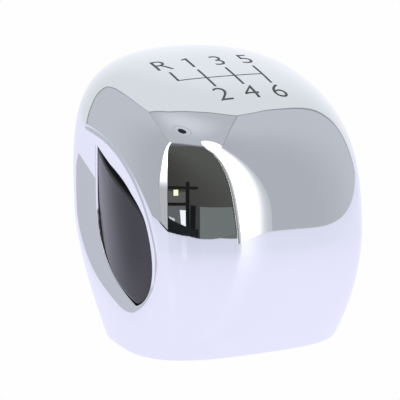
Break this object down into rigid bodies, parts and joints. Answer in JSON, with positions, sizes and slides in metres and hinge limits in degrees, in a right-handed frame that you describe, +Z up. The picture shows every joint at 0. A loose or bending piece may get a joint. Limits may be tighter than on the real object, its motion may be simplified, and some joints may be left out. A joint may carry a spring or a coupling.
{
  "type": "gear shift knob",
  "caption": "Chrome-plated gear shift knob with rounded-square crown, dark convex leaf-shaped inlays in concave finger scoops, engraved shift pattern and a push-on lever socket.",
  "frame": {"origin": "centre of the lever bore's mouth, in the plane of the rim that the knob rests on", "axes": "+Z up along the lever axis, +Y forward in the car, +X towards the driver's right; the shift pattern reads from -Y"},
  "size_m": [0.0482, 0.0554, 0.0536],
  "materials": {
    "chrome_plate": "polished chrome plating",
    "inlay_black": "dark satin moulded plastic",
    "pad_foam": "closed-cell foam tape",
    "core_plastic": "fine spark-eroded texture",
    "insert_metal": "turned",
    "spring_steel": "drawn wire",
    "buffer_rubber": "moulded",
    "cover_plastic": "fine grain",
    "screw_steel": "zinc plated"
  },
  "bodies": {
    "root": {"chrome_shell": "chrome_plate", "left_inlay": "inlay_black", "right_inlay": "inlay_black", "left_pad": "pad_foam", "right_pad": "pad_foam", "inner_core": "core_plastic", "lever_insert": "insert_metal", "retaining_clip": "spring_steel", "lever_buffer": "buffer_rubber", "bottom_cover": "cover_plastic", "core_screws": "screw_steel"}
  },
  "joints": []
}
